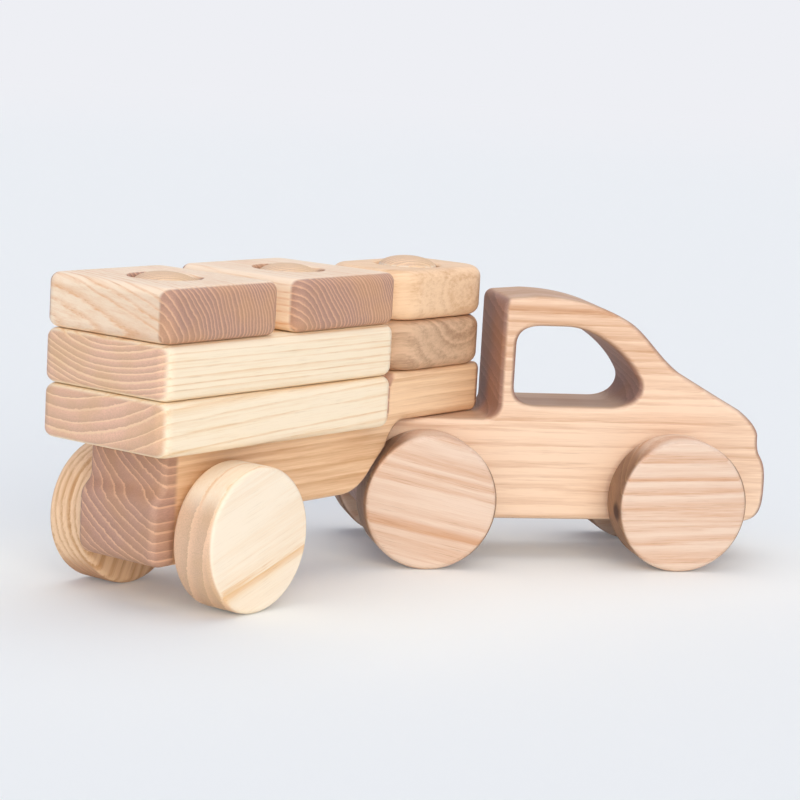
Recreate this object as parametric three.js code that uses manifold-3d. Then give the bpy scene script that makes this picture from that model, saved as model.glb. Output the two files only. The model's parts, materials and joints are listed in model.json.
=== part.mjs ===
// Wooden stacking truck: a car-shaped cab and a swivelling trailer that carries boards and blocks on posts.
// Millimetres, +Z up, +X the way the cab drives. The trailer stands swung to the cab's right.
import * as THREE from 'three';
import { mergeVertices } from 'three/addons/utils/BufferGeometryUtils.js';
import Module from 'manifold-3d';

// Wheels and axles
const wheelDiameter = 60;
const wheelThickness = 20.5;
const wheelRimRadius = 2.5;
const wheelSideGap = 3.5;
const axleDiameter = 10;
const axleClearance = 0.6;
const axleSocketDepth = 14;
const glueGap = 0.3;

// Planks that the cab and the trailer are sawn from
const plankThickness = 42;
const plankEdgeRadius = 3;
const plankCornerRadius = 4;
const keelBelowAxle = 11.5;

// Cab, measured from its rear axle
const wheelbase = 116;
const cabRearOverhang = 27;
const cabTailRadius = 10;
const deckCornerRadius = 5;
const deckAboveWheels = 4;
const deckFilletRadius = 7;
const backWallAheadOfAxle = 34;
const roofAboveDeck = 56;
const roofCornerRadius = 5;
const windscreenRun = 36;
const bonnetLength = 40;
const bonnetAboveDeck = 23;
const noseOverhang = 42;
const noseAboveDeck = -5;
const bumperReach = 5;
const bumperBelowDeck = 14;

// Curves of the cab's front and roof: run is along the cab, rise and drop are upright
const bumperRise = 16;
const bumperBelly = 7;
const bumperLip = 1;
const bumperShoulder = 6;
const bumperShoulderDrop = 4;
const noseLip = 1.5;
const noseLipRise = 2.5;
const noseCrownRun = 10;
const noseCrownRise = 11.5;
const noseCrownPull = 5;
const bonnetSagRun = 24;
const bonnetSagDrop = 9;
const scuttleRun = 10;
const scuttleRise = 7;
const browRun = 12;
const browDrop = 11;
const browPullRun = 20;
const browPullDrop = 16;
const roofEaseRun = 32;
const roofEasePull = 14;
const roofEaseDrop = 4;
const roofFall = 1;

// Window through the cab
const windowPillar = 7;
const windowSillAboveDeck = 6.5;
const windowHeaderBelowRoof = 13.5;
const windowCornerRadius = 9;
const windowShortOfBonnet = 18.5;
const windowCornerRun = 1.3 * windowCornerRadius;
const windowRakeBehindBrow = 18;
const windowRakePull = 14;
const windowRakeEndRun = 1.5;
const windowRakeEndDrop = 22;
const windowRakeEndPull = 7;
const windowRakeEndPullDrop = 12;
const windowChinReach = 2.5;
const windowChinRise = 8;
const windowChinPull = 2;
const windowChinRun = 1.5 * windowCornerRadius;

// Hitch: the trailer's front post drops into a hole in the deck
const hitchBehindAxle = 7;
const kingpinDepth = 18;
const kingpinClearance = 0.5;
const kingpinEndGap = 1;
const swivelAngle = 40;
const swingClearance = 0.8;

// Posts and the load that threads over them
const postDiameter = 26;
const postDomeRise = 5;
const postProud = 2;
const postSeatDepth = 20;
const postHoleClearance = 1.75;
const holeLipRadius = 1.5;
const seatGap = 0.3;
const boardThickness = 22;
const boardWidth = 68.5;
const boardOverrun = 1;
const boardCornerRadius = 6;
const boardEdgeRadius = 4;
const topBlockLength = 66;
const topBlockGap = 10;
const frontBlockLength = 68;
const frontBlockWall = 9.25;
const frontBlockCornerRadius = 16;
const frontBlockEdgeRadius = 5;

// Trailer
const rearPostBehindAxle = 14;
const bedAboveDeck = 1.4;
const bedThickness = 30.4;
const neckThickness = 21.7;
const stepAheadOfBoards = 12;
const stepCornerRadius = 8;
const neckBehindKingpin = 36.5;
const neckToBackWall = 2.5;
const neckCornerRadius = 9;
const tailBehindAxle = 31.5;
const tailBumperReach = 5.5;
const tailBumperBelowBed = 16;
const tailKeelRadius = 8;
const hullAheadOfAxle = 26;
const hullSweep = 22;
const hullPull = 8;
const hullEase = 12;
const bellyRun = 16;
const bellyPull = 6;
const bellyRise = 1;
const throatLowShare = 0.27;
const throatHighShare = 0.62;
const throatPull = 4;
const throatEase = 5;
const throatRun = 13;
const tailNotchRise = 3;
const tailNotchPull = 2;
const tailBumperPull = 1;
const tailBumperDrop = 8;
const cutterOverrun = 1;

// Facets
const edgeSteps = 2;
const curveSteps = 4;
const roundSides = 32;
const wheelSides = 40;

// Places worked out from the sizes above
const axleHeight = wheelDiameter / 2;
const keelHeight = axleHeight - keelBelowAxle;
const deckHeight = wheelDiameter + deckAboveWheels;
const roofHeight = deckHeight + roofAboveDeck;
const noseX = wheelbase + noseOverhang;
const bonnetStartX = noseX - bonnetLength;
const roofFrontX = bonnetStartX - windscreenRun;
const backWallX = backWallAheadOfAxle;
const hitchX = -hitchBehindAxle;
const swivel = THREE.MathUtils.degToRad(swivelAngle);
const bedHeight = deckHeight + bedAboveDeck;
const neckBottom = deckHeight + seatGap;
const layer = boardThickness + seatGap;
const neckTop = neckBottom + neckThickness;
const postSpacing = topBlockLength + topBlockGap;
const boardLength = 2 * topBlockLength + topBlockGap + boardOverrun;
const postRadius = postDiameter / 2;
const postHoleRadius = postRadius + postHoleClearance;
const frontBlockWidth = 2 * (postHoleRadius + frontBlockWall);
const postTop = bedHeight + 3 * layer + postProud;

// Trailer places, measured from the kingpin's axis
const stepX = -neckBehindKingpin;
const boardCentreX = stepX - stepAheadOfBoards - boardLength / 2;
const rearPostX = boardCentreX - postSpacing / 2;
const middlePostX = boardCentreX + postSpacing / 2;
const trailerAxleX = rearPostX + rearPostBehindAxle;
// The neck's rounded corners swing round just short of the cab's back wall
const neckSwing = backWallX - hitchX - neckToBackWall - neckCornerRadius;
const neckHalfFlat = plankThickness / 2 - neckCornerRadius;
const neckFrontX = neckCornerRadius + Math.sqrt(neckSwing ** 2 - neckHalfFlat ** 2);

const wasm = await Module();
wasm.setup();

// Turns a closed three.js geometry into a solid that can be joined and cut.
function solid(geometry) {
  const bare = new THREE.BufferGeometry();
  bare.setAttribute('position', geometry.getAttribute('position').clone());
  if (geometry.getIndex()) bare.setIndex(geometry.getIndex().clone());
  const merged = mergeVertices(bare, 1e-4);
  const index = merged.getIndex().array;
  const triangles = [];
  for (let i = 0; i < index.length; i += 3) {
    const [a, b, c] = index.subarray(i, i + 3);
    if (a !== b && b !== c && c !== a) triangles.push(a, b, c);
  }
  return new wasm.Manifold(new wasm.Mesh({
    numProp: 3,
    vertProperties: Float32Array.from(merged.getAttribute('position').array),
    triVerts: Uint32Array.from(triangles),
  }));
}

// Gives a solid back as a flat-shaded geometry.
function surface(body) {
  const mesh = body.getMesh();
  const geometry = new THREE.BufferGeometry();
  geometry.setAttribute('position', new THREE.BufferAttribute(mesh.vertProperties, 3));
  geometry.setIndex(new THREE.BufferAttribute(mesh.triVerts, 1));
  geometry.computeVertexNormals();
  return geometry;
}

// Oiled ash, each piece in its own tone.
function wood(colour) {
  return new THREE.MeshStandardMaterial({ color: colour, roughness: 0.62, metalness: 0 });
}

function piece(name, body, colour) {
  const mesh = new THREE.Mesh(surface(body), wood(colour));
  mesh.name = name;
  return mesh;
}

// Extrudes an outline with its edges rounded over, centred on its thickness along Z.
function roundedSlab(outline, thickness, edge) {
  const geometry = new THREE.ExtrudeGeometry(outline, {
    depth: thickness - 2 * edge,
    bevelEnabled: true,
    bevelThickness: edge,
    bevelSize: edge,
    bevelOffset: -edge,
    bevelSegments: edgeSteps,
    curveSegments: curveSteps,
  });
  geometry.translate(0, 0, edge - thickness / 2);
  return geometry;
}

// A plank standing on edge: the outline is its side view in X and Z, its thickness lies along Y.
function standingPlank(outline) {
  return solid(roundedSlab(outline, plankThickness, plankEdgeRadius).rotateX(Math.PI / 2));
}

function roundedRectangle(length, width, radius) {
  const x = length / 2;
  const y = width / 2;
  const outline = new THREE.Shape();
  outline.moveTo(-x + radius, -y);
  outline.lineTo(x - radius, -y);
  outline.absarc(x - radius, -y + radius, radius, -Math.PI / 2, 0, false);
  outline.absarc(x - radius, y - radius, radius, 0, Math.PI / 2, false);
  outline.absarc(-x + radius, y - radius, radius, Math.PI / 2, Math.PI, false);
  outline.absarc(-x + radius, -y + radius, radius, Math.PI, 1.5 * Math.PI, false);
  return outline;
}

// Points on a quarter arc from angle a to angle b, in radians, for turned profiles.
function arcPoints(x, y, radius, a, b) {
  const points = [];
  for (let i = 0; i <= edgeSteps; i++) {
    const t = a + ((b - a) * i) / edgeSteps;
    points.push(new THREE.Vector2(x + radius * Math.cos(t), y + radius * Math.sin(t)));
  }
  return points;
}

// A solid of revolution that stands on the Z axis.
function turnedUpright(profile, sides) {
  return solid(new THREE.LatheGeometry(profile, sides).rotateX(Math.PI / 2));
}

// A straight cutter standing on the Z axis, from one height to another.
function uprightCutter(radius, bottom, top) {
  const cutter = new THREE.CylinderGeometry(radius, radius, top - bottom, roundSides);
  return solid(cutter.rotateX(Math.PI / 2).translate(0, 0, (bottom + top) / 2));
}

// The running hole of an axle, through a plank's whole thickness.
function axleBore(x) {
  const radius = axleDiameter / 2 + axleClearance;
  const bore = new THREE.CylinderGeometry(radius, radius, 2 * plankThickness, roundSides);
  return solid(bore.translate(x, 0, axleHeight));
}

// A post hole's cutter: straight in the middle, flared round at both faces of a block.
function postHoleCutter(x) {
  const half = boardThickness / 2;
  const flare = postHoleRadius + holeLipRadius;
  const profile = [
    new THREE.Vector2(0, -half - holeLipRadius),
    new THREE.Vector2(flare, -half - holeLipRadius),
    ...arcPoints(flare, -half + holeLipRadius, holeLipRadius, -Math.PI / 2, -Math.PI),
    ...arcPoints(flare, half - holeLipRadius, holeLipRadius, Math.PI, Math.PI / 2),
    new THREE.Vector2(flare, half + holeLipRadius),
    new THREE.Vector2(0, half + holeLipRadius),
  ];
  return turnedUpright(profile, roundSides).translate(x, 0, 0);
}

// A board or block of the load, centred on its own middle, with a post hole at each given place.
function loadBlock(length, width, corner, edge, holes) {
  let body = solid(roundedSlab(roundedRectangle(length, width, corner), boardThickness, edge));
  for (const x of holes) body = body.subtract(postHoleCutter(x));
  return body;
}

// A dowel post with a domed top, standing from one height to another.
function post(bottom, top) {
  const profile = [new THREE.Vector2(0, bottom), new THREE.Vector2(postRadius, bottom)];
  for (let i = 0; i <= curveSteps; i++) {
    const t = (i / curveSteps) * (Math.PI / 2);
    const height = top - postDomeRise + postDomeRise * Math.sin(t);
    profile.push(new THREE.Vector2(i === curveSteps ? 0 : postRadius * Math.cos(t), height));
  }
  return turnedUpright(profile, roundSides);
}

// A wheel on the Y axis with its inner face at y = 0, its outer face towards +Y and a blind axle socket.
function wheel() {
  const radius = wheelDiameter / 2;
  const socket = axleDiameter / 2 + glueGap;
  const profile = [
    new THREE.Vector2(0, axleSocketDepth),
    new THREE.Vector2(socket, axleSocketDepth),
    new THREE.Vector2(socket, 0),
    ...arcPoints(radius - wheelRimRadius, wheelRimRadius, wheelRimRadius, -Math.PI / 2, 0),
    ...arcPoints(radius - wheelRimRadius, wheelThickness - wheelRimRadius, wheelRimRadius, 0, Math.PI / 2),
    new THREE.Vector2(0, wheelThickness),
  ];
  return solid(new THREE.LatheGeometry(profile, wheelSides));
}

// An axle with a wheel glued on each end, standing on the ground at x.
function addWheelset(group, prefix, x, colours) {
  const innerFace = plankThickness / 2 + wheelSideGap;
  const halfLength = innerFace + axleSocketDepth - glueGap;
  const radius = axleDiameter / 2;
  const rod = solid(new THREE.CylinderGeometry(radius, radius, 2 * halfLength, roundSides));
  const leftDisc = wheel().translate(0, innerFace, 0);
  const rightDisc = wheel().rotate([180, 0, 0]).translate(0, -innerFace, 0);
  const axle = piece(`${prefix}axle`, rod, colours.axle);
  const left = piece(`${prefix}left_wheel`, leftDisc, colours.left);
  const right = piece(`${prefix}right_wheel`, rightDisc, colours.right);
  for (const part of [axle, left, right]) {
    part.position.set(x, 0, axleHeight);
    group.add(part);
  }
}

// The cab's side view, from the rear of its keel forwards, up the nose and back over the roof to the deck.
function cabOutline() {
  const rear = -cabRearOverhang;
  const bumperX = noseX + bumperReach;
  const noseTop = deckHeight + noseAboveDeck;
  const notch = deckHeight - bumperBelowDeck;
  const bonnetTop = deckHeight + bonnetAboveDeck;
  const roofRear = roofHeight - roofFall;
  const quarter = Math.PI / 2;
  const outline = new THREE.Shape();
  outline.moveTo(rear + cabTailRadius, keelHeight);
  outline.lineTo(noseX - bumperReach, keelHeight);
  outline.bezierCurveTo(
    bumperX - bumperLip, keelHeight + bumperLip,
    bumperX, keelHeight + bumperBelly,
    bumperX, keelHeight + bumperRise,
  );
  outline.bezierCurveTo(
    bumperX, notch - bumperShoulder,
    bumperX - bumperLip, notch - bumperShoulderDrop,
    noseX + noseLip, notch,
  );
  outline.quadraticCurveTo(noseX, notch + noseLipRise, noseX, noseTop);
  outline.quadraticCurveTo(
    noseX - bumperLip, noseTop + noseCrownPull,
    noseX - noseCrownRun, noseTop + noseCrownRise,
  );
  outline.quadraticCurveTo(noseX - bonnetSagRun, bonnetTop - bonnetSagDrop, bonnetStartX, bonnetTop);
  outline.bezierCurveTo(
    bonnetStartX - scuttleRun, bonnetTop + scuttleRise,
    roofFrontX + browPullRun, roofHeight - browPullDrop,
    roofFrontX + browRun, roofHeight - browDrop,
  );
  outline.bezierCurveTo(
    roofFrontX, roofHeight - roofEaseDrop,
    roofFrontX - roofEasePull, roofHeight,
    roofFrontX - roofEaseRun, roofHeight,
  );
  outline.lineTo(backWallX + roofCornerRadius, roofRear);
  outline.quadraticCurveTo(backWallX, roofRear, backWallX, roofRear - roofCornerRadius);
  outline.lineTo(backWallX, deckHeight + deckFilletRadius);
  const filletX = backWallX - deckFilletRadius;
  outline.absarc(filletX, deckHeight + deckFilletRadius, deckFilletRadius, 0, -quarter, true);
  const deckCornerX = rear + deckCornerRadius;
  outline.lineTo(deckCornerX, deckHeight);
  outline.absarc(deckCornerX, deckHeight - deckCornerRadius, deckCornerRadius, quarter, 2 * quarter, false);
  const tailX = rear + cabTailRadius;
  outline.absarc(tailX, keelHeight + cabTailRadius, cabTailRadius, 2 * quarter, 3 * quarter, false);
  return outline;
}

// The cab's window: upright at the back, level along the sill and raked with the windscreen at the front.
function windowOutline() {
  const back = backWallX + windowPillar;
  const front = bonnetStartX - windowShortOfBonnet;
  const sill = deckHeight + windowSillAboveDeck;
  const header = roofHeight - windowHeaderBelowRoof;
  const corner = windowCornerRadius;
  const rake = roofFrontX - windowRakeBehindBrow;
  const outline = new THREE.Path();
  outline.moveTo(back, sill + corner);
  outline.lineTo(back, header - corner);
  outline.quadraticCurveTo(back, header, back + windowCornerRun, header);
  outline.lineTo(rake, header);
  outline.bezierCurveTo(
    rake + windowRakePull, header,
    front - windowRakeEndPull, header - windowRakeEndPullDrop,
    front - windowRakeEndRun, header - windowRakeEndDrop,
  );
  outline.bezierCurveTo(
    front + windowChinReach, sill + windowChinRise,
    front - windowChinPull, sill,
    front - windowChinRun, sill,
  );
  outline.lineTo(back + windowCornerRun, sill);
  outline.quadraticCurveTo(back, sill, back, sill + corner);
  return outline;
}

function cabBody() {
  const outline = cabOutline();
  outline.holes.push(windowOutline());
  const holeBottom = deckHeight - kingpinDepth - kingpinEndGap;
  const hole = uprightCutter(postRadius + kingpinClearance, holeBottom, deckHeight + cutterOverrun);
  return standingPlank(outline)
    .subtract(axleBore(0))
    .subtract(axleBore(wheelbase))
    .subtract(hole.translate(hitchX, 0, 0));
}

// How far forward the trailer's underside may reach at a height and clear the cab's wheel at full swing.
function swingLimit(height) {
  const chord = Math.sqrt(axleHeight ** 2 - (height - axleHeight) ** 2);
  const reach = chord + swingClearance + hitchX + (plankThickness / 2) * Math.sin(swivel);
  return -reach / Math.cos(swivel);
}

// The trailer's side view, from the tail's keel forwards, up into the neck and back along the bed.
function trailerOutline() {
  const tail = trailerAxleX - tailBehindAxle;
  const bumper = tail - tailBumperReach;
  const notch = bedHeight - tailBumperBelowBed;
  const bedBottom = bedHeight - bedThickness;
  const hullEnd = trailerAxleX + hullAheadOfAxle;
  const lowHeight = bedBottom + (neckBottom - bedBottom) * throatLowShare;
  const highHeight = bedBottom + (neckBottom - bedBottom) * throatHighShare;
  const lowX = swingLimit(lowHeight);
  const highX = swingLimit(highHeight);
  const front = neckFrontX;
  const nose = deckFilletRadius;
  const corner = plankCornerRadius;
  const outline = new THREE.Shape();
  outline.moveTo(bumper + tailKeelRadius, keelHeight);
  outline.lineTo(hullEnd - hullSweep, keelHeight);
  outline.bezierCurveTo(
    hullEnd - hullPull, keelHeight,
    hullEnd - hullEase, bedBottom,
    hullEnd + hullSweep / 2, bedBottom,
  );
  outline.lineTo(lowX - bellyRun, bedBottom);
  outline.quadraticCurveTo(lowX - bellyPull, bedBottom + bellyRise, lowX, lowHeight);
  outline.quadraticCurveTo(lowX + throatPull, lowHeight + throatPull, highX, highHeight);
  outline.quadraticCurveTo(highX + throatEase, neckBottom, highX + throatRun, neckBottom);
  outline.lineTo(front - nose, neckBottom);
  outline.absarc(front - nose, neckBottom + nose, nose, -Math.PI / 2, 0, false);
  outline.absarc(front - corner, neckTop - corner, corner, 0, Math.PI / 2, false);
  const stepCornerX = stepX + stepCornerRadius;
  outline.lineTo(stepCornerX, neckTop);
  outline.absarc(stepCornerX, neckTop - stepCornerRadius, stepCornerRadius, Math.PI / 2, Math.PI, false);
  outline.absarc(stepX - corner, bedHeight + corner, corner, 0, -Math.PI / 2, true);
  outline.absarc(tail + corner, bedHeight - corner, corner, Math.PI / 2, Math.PI, false);
  outline.lineTo(tail, notch + tailNotchRise);
  outline.bezierCurveTo(
    tail, notch - tailNotchPull,
    bumper, notch - tailBumperPull,
    bumper, notch - tailBumperDrop,
  );
  outline.lineTo(bumper, keelHeight + tailKeelRadius);
  outline.quadraticCurveTo(bumper, keelHeight, bumper + tailKeelRadius, keelHeight);
  return outline;
}

// The neck's front seen from above, as a tall cutter that keeps what lies behind its rounded end.
function neckPlan() {
  const rear = trailerAxleX - tailBehindAxle - 2 * tailBumperReach;
  const length = neckFrontX - rear;
  const plan = roundedRectangle(length, plankThickness, neckCornerRadius);
  const tall = new THREE.ExtrudeGeometry(plan, {
    depth: 2 * neckTop,
    bevelEnabled: false,
    curveSegments: curveSteps,
  });
  return solid(tall.translate(rear + length / 2, 0, -neckTop / 2));
}

function trailerBody() {
  const seatBottom = bedHeight - postSeatDepth - glueGap;
  const bore = postRadius + glueGap;
  const seat = uprightCutter(bore, seatBottom, bedHeight + cutterOverrun);
  const through = uprightCutter(bore, neckBottom - cutterOverrun, neckTop + cutterOverrun);
  return standingPlank(trailerOutline())
    .intersect(neckPlan())
    .subtract(axleBore(trailerAxleX))
    .subtract(seat.translate(rearPostX, 0, 0))
    .subtract(seat.translate(middlePostX, 0, 0))
    .subtract(through);
}

// Cab with its two wheelsets
const cab = new THREE.Group();
cab.add(piece('cab_body', cabBody(), 0xd3a476));
addWheelset(cab, 'cab_rear_', 0, { axle: 0xd9b78c, left: 0xd8b48c, right: 0xdcb594 });
addWheelset(cab, 'cab_front_', wheelbase, { axle: 0xd9b78c, left: 0xd8b48c, right: 0xdeb78e });

// Trailer with its wheelset and posts, about the kingpin's axis
const trailer = new THREE.Group();
trailer.position.x = hitchX;
trailer.rotation.z = swivel;
trailer.add(piece('trailer_body', trailerBody(), 0xc08f63));
addWheelset(trailer, 'trailer_', trailerAxleX, { axle: 0xd9b78c, left: 0xcfa67a, right: 0xe3bd8a });
for (const [name, x] of [['rear_post', rearPostX], ['middle_post', middlePostX]]) {
  trailer.add(piece(name, post(bedHeight - postSeatDepth, postTop).translate(x, 0, 0), 0xdcb98e));
}
trailer.add(piece('front_post', post(deckHeight - kingpinDepth, postTop), 0xdcb98e));

// The load, each layer a board's thickness above the last
function addLoad(name, body, x, bottom, colour) {
  const part = piece(name, body, colour);
  part.position.set(x, 0, bottom + seatGap + boardThickness / 2);
  trailer.add(part);
}
const halfSpacing = postSpacing / 2;
const boardHoles = [-halfSpacing, halfSpacing];
const board = loadBlock(boardLength, boardWidth, boardCornerRadius, boardEdgeRadius, boardHoles);
const topBlock = loadBlock(topBlockLength, boardWidth, boardCornerRadius, boardEdgeRadius, [0]);
const frontBlock = loadBlock(
  frontBlockLength, frontBlockWidth, frontBlockCornerRadius, frontBlockEdgeRadius, [0],
);
addLoad('lower_board', board, boardCentreX, bedHeight, 0xe6c698);
addLoad('upper_board', board, boardCentreX, bedHeight + layer, 0xe6c698);
addLoad('rear_top_block', topBlock, rearPostX, bedHeight + 2 * layer, 0xd9b388);
addLoad('middle_top_block', topBlock, middlePostX, bedHeight + 2 * layer, 0xd9b388);
addLoad('lower_front_block', frontBlock, 0, neckTop, 0xcfa67e);
addLoad('upper_front_block', frontBlock, 0, neckTop + layer, 0xdcb189);

// The whole truck stands on the ground with its origin under the middle of its box
const truck = new THREE.Group();
truck.add(cab, trailer);
truck.updateMatrixWorld(true);
const box = new THREE.Box3().setFromObject(truck, true);
truck.position.set(-(box.min.x + box.max.x) / 2, -(box.min.y + box.max.y) / 2, -box.min.z);

export default truck;
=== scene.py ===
"""Wooden stacking truck: smooth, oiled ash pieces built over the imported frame, on a pale studio sweep.

Every piece is a numpy surface: an outline carried round a rounded section, or a profile turned on an axis.
The wood is a solid pattern of growth rings, so each face shows the cut that its direction makes.
"""

import json
import math

import bmesh
import bpy
import numpy as np
from bpy.props import FloatProperty, FloatVectorProperty, PointerProperty
from mathutils import Matrix
from mathutils.geometry import tessellate_polygon


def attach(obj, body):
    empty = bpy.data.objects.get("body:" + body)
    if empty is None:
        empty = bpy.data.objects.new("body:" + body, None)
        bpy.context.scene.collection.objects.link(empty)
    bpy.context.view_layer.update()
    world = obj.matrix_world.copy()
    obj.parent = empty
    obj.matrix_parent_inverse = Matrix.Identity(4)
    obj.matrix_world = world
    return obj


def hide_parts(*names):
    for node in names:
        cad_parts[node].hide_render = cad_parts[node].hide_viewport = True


bl_info = {
    "name": "Wooden stacking truck",
    "version": (1, 0, 0),
    "blender": (4, 5, 0),
    "location": "3D View > Sidebar > Truck",
    "description": "Builds a wooden toy truck whose trailer carries boards and blocks on posts",
    "category": "Add Mesh",
}

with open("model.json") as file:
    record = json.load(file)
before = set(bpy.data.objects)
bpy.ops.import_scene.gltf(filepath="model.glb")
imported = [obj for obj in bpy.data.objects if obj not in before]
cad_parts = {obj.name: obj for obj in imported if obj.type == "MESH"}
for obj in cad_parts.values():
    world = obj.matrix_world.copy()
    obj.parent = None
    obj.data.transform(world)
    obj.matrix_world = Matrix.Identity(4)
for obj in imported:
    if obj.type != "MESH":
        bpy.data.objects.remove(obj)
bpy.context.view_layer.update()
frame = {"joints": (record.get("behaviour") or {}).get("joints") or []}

# Places that the frame gives, in metres
JOINTS = {joint["name"]: joint for joint in frame["joints"]}
REAR_AXLE = np.array(JOINTS["rear_axle_roll"]["pos_m"])
FRONT_AXLE = np.array(JOINTS["front_axle_roll"]["pos_m"])
TRAILER_AXLE = np.array(JOINTS["trailer_axle_roll"]["pos_m"])
KINGPIN = np.array(JOINTS["trailer_swivel"]["pos_m"])
SIDEWAYS = JOINTS["trailer_axle_roll"]["axis"]
SWING = math.atan2(-SIDEWAYS[0], SIDEWAYS[1])
WHEELBASE = FRONT_AXLE[0] - REAR_AXLE[0]
HITCH_X = KINGPIN[0] - REAR_AXLE[0]
TRAILER_AXLE_X = -math.dist(KINGPIN[:2], TRAILER_AXLE[:2])

# Fineness of the surfaces
EDGE_STEPS = 8
CURVE_STEPS = 24
CORNER_STEPS = 12
ROUND_SIDES = 72
WHEEL_SIDES = 144
SUPPORT = 0.0003
WELD = 2e-6
SHARP_ANGLE = math.radians(40)
MM = 0.001

# Fixed lengths of the cab, the trailer and the hitch, in metres
NOSE_OVERHANG = 42 * MM
BUMPER_REACH = 5 * MM
BONNET_LENGTH = 40 * MM
BONNET_RISE = 23 * MM
WINDSCREEN_RUN = 36 * MM
NECK_CORNER = 9 * MM
NECK_TO_WALL = 2.5 * MM
STEP_BEHIND_KINGPIN = 36.5 * MM
BOARDS_BEHIND_STEP = 12 * MM
TAIL_BEHIND_AXLE = 31.5 * MM
TAIL_BUMPER = 5.5 * MM
HULL_AHEAD = 26 * MM
SWING_CLEARANCE = 0.8 * MM
KINGPIN_DEPTH = 18 * MM
KINGPIN_HOLE_DEPTH = 19 * MM
KINGPIN_CLEARANCE = 0.5 * MM
POST_SEAT = 20 * MM
POST_CHAMFER = 0.5 * MM
AXLE_CHAMFER = 1 * MM


def length(name, description, millimetres):
    """A size property, written in millimetres and kept in metres."""
    return FloatProperty(
        name=name, description=description, default=millimetres * MM, min=0.0,
        precision=4, unit="LENGTH", subtype="DISTANCE",
    )


def colour(name, description, code):
    """A colour property, written as a screen colour code and kept as linear light."""
    channels = [int(code[i:i + 2], 16) / 255 for i in (0, 2, 4)]
    linear = [c / 12.92 if c <= 0.04045 else ((c + 0.055) / 1.055) ** 2.4 for c in channels]
    return FloatVectorProperty(
        name=name, description=description, default=linear, size=3, min=0.0, max=1.0, subtype="COLOR",
    )


class TruckSizes(bpy.types.PropertyGroup):
    """Sizes of the planks, wheels, posts and load."""

    wheel_diameter: length("Wheel diameter", "Across a wheel", 60)
    wheel_thickness: length("Wheel thickness", "Along the axle", 20.5)
    wheel_rim: length("Wheel rim rounding", "Radius of a wheel's rounded rim", 2.5)
    wheel_side_gap: length("Wheel side gap", "Between a plank and a wheel", 3.5)
    axle_diameter: length("Axle diameter", "Across an axle dowel", 10)
    axle_clearance: length("Axle clearance", "All round an axle in its plank", 0.6)
    socket_depth: length("Socket depth", "Blind hole for the axle in a wheel", 14)
    glue_gap: length("Glue gap", "Round a glued dowel", 0.3)
    plank_thickness: length("Plank thickness", "Of the cab and of the trailer", 42)
    plank_edge: length("Plank edge rounding", "Radius of a plank's rounded edges", 3)
    keel_below_axle: length("Keel below axle", "From an axle's centre down to the underside", 11.5)
    deck_above_wheels: length("Deck above wheels", "The cab's deck over the wheel tops", 4)
    roof_above_deck: length("Roof above deck", "Height of the cab's roof", 56)
    cab_rear_overhang: length("Cab rear overhang", "Behind the cab's rear axle", 27)
    back_wall: length("Back wall", "Ahead of the cab's rear axle", 34)
    deck_fillet: length("Deck fillet", "Radius between the deck and the back wall", 7)
    bed_above_deck: length("Bed above deck", "The trailer's bed over the cab's deck", 1.4)
    bed_thickness: length("Bed thickness", "Of the trailer between hull and neck", 30.4)
    neck_thickness: length("Neck thickness", "Of the trailer over the cab's deck", 21.7)
    seat_gap: length("Seat gap", "Under each piece of the load", 0.3)
    post_diameter: length("Post diameter", "Across a post", 26)
    post_proud: length("Post proud", "A post's top over the top blocks", 2)
    post_dome: length("Post dome", "Height of a post's rounded top", 5)
    post_clearance: length("Post clearance", "All round a post in the load's holes", 1.75)
    board_thickness: length("Board thickness", "Of the boards and blocks", 22)
    board_length: length("Board length", "Along the trailer", 143)
    board_width: length("Board width", "Across the trailer", 68.5)
    board_corner: length("Board corner rounding", "Radius of the boards' upright corners", 6)
    board_edge: length("Board edge rounding", "Radius of the boards' edges", 4)
    hole_lip: length("Hole lip", "Radius of the lip round a post hole", 1.5)
    top_block_length: length("Top block length", "Along the trailer", 66)
    post_spacing: length("Post spacing", "Between the two posts on the bed", 76)
    front_block_length: length("Front block length", "Along the neck", 68)
    front_block_width: length("Front block width", "Across the neck", 48)
    front_block_corner: length("Front block corner rounding", "Radius of the front blocks' corners", 16)
    front_block_edge: length("Front block edge rounding", "Radius of the front blocks' edges", 5)


# Screen colours of each kind of piece: summer wood, spring wood and end grain
TONES = {
    "board": ("FFECCD", "EBBF86", "F2C3A5"),
    "block": ("FFE6C8", "E9AF79", "C59882"),
    "front": ("FAD4AB", "CD955E", "D9A883"),
    "grey": ("DDB894", "9C7254", "B99377"),
    "cab": ("F6D6B8", "C68F64", "AE897A"),
    # The wheels' end grain is darker than the wood's own: partly end grain, partly painted shade on the cab
    # wheels' treads
    "trailer": ("FFDAB0", "D5A272", "C99C86"),
    "wheel": ("E7CDB7", "D09F7B", "98745A"),
    "pale": ("FFEED4", "F0C592", "F4CCA9"),
}
PARTS = {
    "late": ("summer wood", "Ground tone"),
    "early": ("spring wood", "Line tone"),
    "end": ("end grain", "Tone where the fibres are cut across"),
}


class TruckFinish(bpy.types.PropertyGroup):
    """Tones of the oiled ash: summer wood, spring wood and end grain of each kind of piece."""

    knot: colour("Knot", "A small knot in a wheel's tread", "4A3028")


for kind, codes in TONES.items():
    for (part, (name, description)), code in zip(PARTS.items(), codes):
        TruckFinish.__annotations__[f"{kind}_{part}"] = colour(f"{kind.title()} {name}", description, code)


class StudioSettings(bpy.types.PropertyGroup):
    """Camera, sweep and lamps."""

    sweep: colour("Sweep", "Floor and backdrop", "F9F9F2")
    haze: colour("Haze", "Even tone that the sweep fades into far behind", "EEEFF4")
    lamp: colour("Lamps", "Tint of the lamps", "FFF7E8")
    sky: colour("Sky", "Tint of the plain light from all round", "98BEFF")
    lens: FloatProperty(
        name="Lens", description="Focal length on a 36 mm sensor", default=113.75, unit="CAMERA",
    )


def sizes():
    return bpy.context.scene.truck_sizes


def finish():
    return bpy.context.scene.truck_finish


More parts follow.
